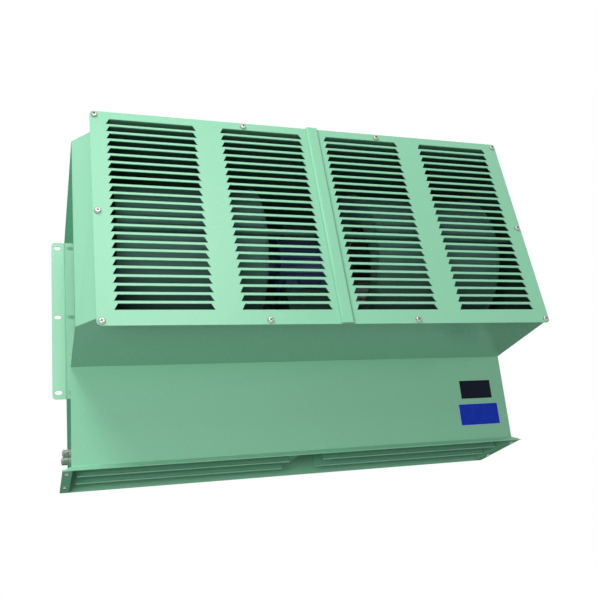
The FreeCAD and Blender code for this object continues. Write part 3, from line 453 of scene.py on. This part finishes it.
def paint_inside():
    """Blowers, motor and cable bush; the blowers and the motor cradle in greens darkened as painted shade.
    """
    paint(enamel("blower_green_and_shade", BLOWER_SHADE_GREEN, *DULL_COAT), *named("scroll_"))
    paint(enamel("motor_enamel", MOTOR_BLUE, *MOTOR_COAT), *named("motor_frame", "motor_end"))
    # The cradle gets the inside green, which is painted shade.
    paint(enamel("cradle_painted_shade", INSIDE_SHADE_GREEN, *DULL_COAT), "motor_cradle")
    paint(moulding("black_moulding"), *named("terminal_"))
    steel = turned_steel("turned_steel", STEEL, STEEL_ROUGH)
    paint(steel, *named("motor_shaft", "motor_bearing", "impeller_hub"))
    paint(plating("zinc_plating", ZINC, ZINC_ROUGH), "motor_bolts", "hub_set_screws")
    paint(galvanised("galvanised_sheet"), "impeller_left", "impeller_right")
    paint(laminations("core_laminations"), "stator_core", "rotor_core")
    paint(rubber("black_rubber"), "cable_grommet")


def paint_plates():
    """Bare plates on the duct front."""
    black_edge = shade(PLATE_BLACK, BLACK_EDGE_SHADE)
    paint(printed_plate("black_plate", "upper_plate", PLATE_BLACK, black_edge, BLACK_BORDER), "upper_plate")
    paint(printed_plate("blue_plate", "lower_plate", PLATE_BLUE, PLATE_EDGE, BLUE_BORDER), "lower_plate")


# Modelling helpers
def start_round(name, radius, height, sides):
    """Upright round bar on the origin, the only thing selected."""
    bpy.ops.object.select_all(action="DESELECT")
    middle = (0, 0, height / 2)
    bpy.ops.mesh.primitive_cylinder_add(vertices=sides, radius=radius, depth=height, location=middle)
    piece = bpy.context.active_object
    piece.name = name
    bpy.ops.object.transform_apply(location=True, rotation=True, scale=True)
    return piece


def pick(piece, kind, test):
    """In edit mode, select the faces or edges whose middle passes a test, and nothing else."""
    bpy.ops.mesh.select_mode(type=kind)
    bpy.ops.mesh.select_all(action="DESELECT")
    shape = bmesh.from_edit_mesh(piece.data)
    if kind == "FACE":
        for face in shape.faces:
            face.select_set(test(face.calc_center_median()))
    else:
        for edge in shape.edges:
            middle = (edge.verts[0].co + edge.verts[1].co) / 2
            level = abs(edge.verts[0].co.z - edge.verts[1].co.z) < TINY
            edge.select_set(level and test(middle))
    shape.select_flush_mode()
    bmesh.update_edit_mesh(piece.data)


def cut(piece, cutter, operation):
    """Boolean of two pieces; the cutter is used up."""
    bpy.ops.object.select_all(action="DESELECT")
    piece.select_set(True)
    bpy.context.view_layer.objects.active = piece
    change = piece.modifiers.new("cut", "BOOLEAN")
    change.object = cutter
    change.operation = operation
    change.solver = "EXACT"
    bpy.ops.object.modifier_apply(modifier=change.name)
    bpy.data.objects.remove(cutter)


def copy_to(piece, place, turn):
    """Copy with its own mesh, turned and set down at a place."""
    bpy.ops.object.select_all(action="DESELECT")
    piece.select_set(True)
    bpy.context.view_layer.objects.active = piece
    bpy.ops.object.duplicate()
    double = bpy.context.active_object
    double.rotation_euler = turn
    double.location = place
    return double


def join(pieces, name):
    """One object from several, on the origin."""
    bpy.ops.object.select_all(action="DESELECT")
    for piece in pieces:
        piece.select_set(True)
    bpy.context.view_layer.objects.active = pieces[0]
    bpy.ops.object.transform_apply(location=True, rotation=True, scale=True)
    if len(pieces) > 1:
        bpy.ops.object.join()
    whole = bpy.context.active_object
    whole.name = name
    bpy.ops.object.shade_smooth_by_angle(angle=EDGE_ANGLE)
    return whole


def dress(piece, *finishes):
    """Give a new piece its finishes, the first of them on every face."""
    piece.data.materials.clear()
    for finish in finishes:
        piece.data.materials.append(finish)


def fit(piece, body, slot, *replaced):
    """Put a finished piece on its body, in place of nodes."""
    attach(piece, body)
    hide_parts(*replaced)


# Fasteners
def cross_cutter(reach, depth, top):
    """Cross-shaped punch for a screw head, narrower at its tip."""
    arms = []
    for length, width in ((reach, reach * RECESS_WIDTH), (reach * RECESS_WIDTH, reach)):
        bpy.ops.object.select_all(action="DESELECT")
        bpy.ops.mesh.primitive_cube_add(size=1, location=(0, 0, top - depth / 2))
        arm = bpy.context.active_object
        arm.scale = (2 * length, 2 * width, depth)
        bpy.ops.object.transform_apply(location=True, rotation=True, scale=True)
        bpy.ops.object.mode_set(mode="EDIT")
        pick(arm, "FACE", lambda middle: middle.z < top - depth * 0.9)
        bpy.ops.transform.resize(value=(RECESS_TIP, RECESS_TIP, 1.0))
        bpy.ops.object.mode_set(mode="OBJECT")
        arms.append(arm)
    cut(arms[0], arms[1], "UNION")
    return arms[0]


def pan_head_screw(head_r, head, shank_r, shank, finish, recess):
    """Domed screw with painted shade in its cross recess, upright, its seat on the origin."""
    screw = start_round("pan_head_screw", head_r, head, ROUND_SIDES)
    bpy.ops.object.mode_set(mode="EDIT")
    pick(screw, "FACE", lambda middle: middle.z < TINY)
    bpy.ops.mesh.inset(thickness=head_r - shank_r)
    bpy.ops.mesh.extrude_region_move(TRANSFORM_OT_translate={"value": (0, 0, -shank)})
    pick(screw, "EDGE", lambda middle: middle.z > head - TINY)
    bpy.ops.mesh.bevel(offset=head * DOME_SHARE, segments=6, profile=0.5, affect="EDGES")
    bpy.ops.object.mode_set(mode="OBJECT")
    punch = cross_cutter(head_r * RECESS_REACH, head * RECESS_DEPTH, head * PUNCH_TOP)
    dress(screw, finish, recess)
    dress(punch, finish, recess)
    for face in punch.data.polygons:
        face.material_index = 1
    cut(screw, punch, "DIFFERENCE")
    return screw


def panel_screws(finish, recess):
    """Screws round the intake panels, each stopped at its own turn."""
    low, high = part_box("panel_screws")
    seat = low.y + PAN_HEAD
    side = high.x - PAN_HEAD_R
    top = high.z - PAN_HEAD_R
    bottom = low.z + PAN_HEAD_R
    middle = (top + bottom) / 2
    places = [(side, top), (side, middle), (side, bottom), (PAN_MID, top), (PAN_MID, bottom)]
    places += [(-x, z) for x, z in places]
    pattern = pan_head_screw(PAN_HEAD_R, PAN_HEAD, PAN_SHANK_R, PAN_SHANK, finish, recess)
    screws = []
    for number, (x, z) in enumerate(places):
        turn = (math.radians(90), math.radians(PAN_TURN * number), 0)
        screws.append(copy_to(pattern, (x, seat, z), turn))
    bpy.data.objects.remove(pattern)
    fit(join(screws, "panel_screw_set"), "casing", "bright_plating", "panel_screws")


def strip_screws(finish, recess):
    """Small screws under the outlet's end strips."""
    low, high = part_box("end_strip_screws")
    seat = low.z + STRIP_HEAD
    side = high.x - STRIP_HEAD_R
    pattern = pan_head_screw(STRIP_HEAD_R, STRIP_HEAD, STRIP_SHANK_R, STRIP_SHANK, finish, recess)
    screws = []
    for x in (-side, side):
        for y in (low.y + STRIP_HEAD_R, high.y - STRIP_HEAD_R):
            turn = (math.radians(180), 0, math.radians(STRIP_TURN * len(screws)))
            screws.append(copy_to(pattern, (x, y, seat), turn))
    bpy.data.objects.remove(pattern)
    fit(join(screws, "strip_screw_set"), "casing", "bright_plating", "end_strip_screws")


def hex_nut(thick):
    """Chamfered nut, upright on the origin."""
    corner_r = NUT_FLATS / math.sqrt(3)
    nut = start_round("hex_nut", corner_r, thick, 6)
    blank = start_round("nut_blank", corner_r * 1.001, thick, BLANK_SIDES)
    bpy.ops.object.mode_set(mode="EDIT")
    pick(blank, "EDGE", lambda middle: middle.z > thick - TINY or middle.z < TINY)
    bpy.ops.mesh.bevel(offset=(corner_r - NUT_FLATS / 2) * 1.1, segments=1, affect="EDGES")
    bpy.ops.object.mode_set(mode="OBJECT")
    cut(nut, blank, "INTERSECT")
    return nut


def washer():
    """Plain washer with eased rims, upright on the origin."""
    piece = start_round("washer", WASHER_R, WASHER_THICK, ROUND_SIDES)
    bpy.ops.object.mode_set(mode="EDIT")
    pick(piece, "EDGE", lambda middle: True)
    bpy.ops.mesh.bevel(offset=WASHER_THICK * 0.2, segments=2, affect="EDGES")
    bpy.ops.object.mode_set(mode="OBJECT")
    return piece


def pivot_hardware(finish):
    """Washer, nut and lock nut outside the casing at each vane."""
    for place in ("front", "rear"):
        for side, way in (("left", -1), ("right", 1)):
            name = place + "_" + side
            low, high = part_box("pivot_nuts_" + name)
            y = (low.y + high.y) / 2
            z = (low.z + high.z) / 2
            near = min(abs(low.x), abs(high.x))
            turn = (0, way * math.radians(90), 0)
            pieces = []
            start = near
            for pattern, thick in (
                (washer(), WASHER_THICK),
                (hex_nut(NUT_THICK), NUT_THICK),
                (hex_nut(LOCKNUT_THICK), LOCKNUT_THICK),
            ):
                pattern.rotation_euler = turn
                pattern.location = (way * start, y, z)
                pieces.append(pattern)
                start += thick
            stack = join(pieces, "pivot_nut_stack_" + name)
            dress(stack, finish)
            fit(stack, name + "_vane", "bright_plating", "pivot_nuts_" + name)


# Studio
def seen_rays(tree):
    """1 for rays that look at the background straight, in metal or through glass, 0 for those that light."""
    rays = tree.nodes.new("ShaderNodeLightPath")
    straight = figure(tree, "MAXIMUM", rays.outputs["Is Camera Ray"], rays.outputs["Is Glossy Ray"])
    return figure(tree, "MAXIMUM", straight, rays.outputs["Is Transmission Ray"])


def white_room():
    """White to look at, even soft light on everything else."""
    world = bpy.data.worlds.new("white_room")
    bpy.context.scene.world = world
    world.use_nodes = True
    tree = world.node_tree
    seen = tree.nodes["Background"]
    seen.inputs["Color"].default_value = (1.0, 1.0, 1.0, 1.0)
    seen.inputs["Strength"].default_value = 1.0
    light = tree.nodes.new("ShaderNodeBackground")
    light.inputs["Color"].default_value = (1.0, 1.0, 1.0, 1.0)
    light.inputs["Strength"].default_value = ROOM_LIGHT
    mix = tree.nodes.new("ShaderNodeMixShader")
    tree.links.new(seen_rays(tree), mix.inputs["Fac"])
    tree.links.new(light.outputs["Background"], mix.inputs[1])
    tree.links.new(seen.outputs["Background"], mix.inputs[2])
    tree.links.new(mix.outputs["Shader"], tree.nodes["World Output"].inputs["Surface"])


def pale_floor():
    """Plain floor below the unit, that fades out to the white room where it is looked at."""
    bpy.ops.object.select_all(action="DESELECT")
    bpy.ops.mesh.primitive_plane_add(size=FLOOR_SIZE, location=(0, 0, FLOOR_HEIGHT))
    floor = bpy.context.active_object
    floor.name = "studio_floor"
    finish, tree, shader = new_finish("pale_floor")
    shader.inputs["Roughness"].default_value = 0.9
    shader.inputs["Specular IOR Level"].default_value = 0.1
    tint = tree.nodes.new("ShaderNodeMix")
    tint.data_type = "RGBA"
    tint.inputs["A"].default_value = (*FLOOR_LIGHT, 1.0)
    tint.inputs["B"].default_value = (*FLOOR_SEEN, 1.0)
    tree.links.new(seen_rays(tree), tint.inputs["Factor"])
    tree.links.new(tint.outputs["Result"], shader.inputs["Base Color"])
    place = tree.nodes.new("ShaderNodeTexCoord")
    out = tree.nodes.new("ShaderNodeVectorMath")
    out.operation = "LENGTH"
    fade = tree.nodes.new("ShaderNodeMapRange")
    fade.interpolation_type = "SMOOTHSTEP"
    fade.inputs["From Min"].default_value, fade.inputs["From Max"].default_value = FLOOR_FADE
    rays = tree.nodes.new("ShaderNodeLightPath")
    cleared = figure(tree, "MULTIPLY", fade.outputs["Result"], rays.outputs["Is Camera Ray"])
    clear = tree.nodes.new("ShaderNodeBsdfTransparent")
    mix = tree.nodes.new("ShaderNodeMixShader")
    tree.links.new(place.outputs["Object"], out.inputs[0])
    tree.links.new(out.outputs["Value"], fade.inputs["Value"])
    tree.links.new(cleared, mix.inputs["Fac"])
    tree.links.new(shader.outputs["BSDF"], mix.inputs[1])
    tree.links.new(clear.outputs["BSDF"], mix.inputs[2])
    tree.links.new(mix.outputs["Shader"], tree.nodes["Material Output"].inputs["Surface"])
    floor.data.materials.append(finish)


def dark_flag(name, place, size, colour):
    """Upright dark card, so wide and so high, seen only as a reflection, that keeps white off the gloss."""
    bpy.ops.object.select_all(action="DESELECT")
    bpy.ops.mesh.primitive_plane_add(size=1, location=place, rotation=(math.radians(90), 0, 0))
    flag = bpy.context.active_object
    flag.name = name
    flag.scale = (*size, 1)
    finish, _, shader = new_finish(name + "_card")
    shader.inputs["Base Color"].default_value = (*colour, 1.0)
    shader.inputs["Roughness"].default_value = 0.9
    flag.data.materials.append(finish)
    flag.visible_camera = False
    flag.visible_diffuse = False
    flag.visible_shadow = False


def softbox(name, place, size, power, mirrored):
    """Soft lamp, so wide and so high, that looks at the unit; only a mirrored one shows in the gloss."""
    bpy.ops.object.select_all(action="DESELECT")
    bpy.ops.object.light_add(type="AREA", location=place)
    lamp = bpy.context.active_object
    lamp.name = name
    lamp.data.shape = "RECTANGLE"
    lamp.data.size, lamp.data.size_y = size
    lamp.data.energy = power
    lamp.visible_camera = False
    lamp.visible_glossy = mirrored
    lamp.rotation_euler = (Vector(LAMP_AIM) - Vector(place)).to_track_quat("-Z", "Y").to_euler()


def photo_camera():
    """Camera where the photograph was taken from."""
    bpy.ops.object.select_all(action="DESELECT")
    bpy.ops.object.camera_add(location=CAMERA_PLACE, rotation=[math.radians(a) for a in CAMERA_TURN])
    camera = bpy.context.active_object
    camera.data.lens = CAMERA_LENS
    camera.data.sensor_width = SENSOR_WIDTH
    camera.data.clip_start = CLIP_START
    bpy.context.scene.camera = camera


paint_casing()
paint_inside()
paint_plates()
soften_edges(*named("intake_panel", "panel_joint", "side_panel", "duct_front", "top_panel", "box_floor"))
bright = plating("bright_plating", PLATING, BRIGHT_ROUGH)
# The screw recesses get painted shade.
black = recess_painted_shade("recess_painted_shade")
paint(threaded("threaded_plating", PLATING, THREAD_ROUGH), *named("pivot_pins"))
panel_screws(bright, black)
strip_screws(bright, black)
pivot_hardware(bright)
white_room()
pale_floor()
for name, (place, size, colour) in FLAGS.items():
    dark_flag(name, place, size, colour)
for name, (place, size, power, mirrored) in LAMPS.items():
    softbox(name, place, size, power, mirrored)
photo_camera()
bpy.context.scene.view_settings.view_transform = "Standard"
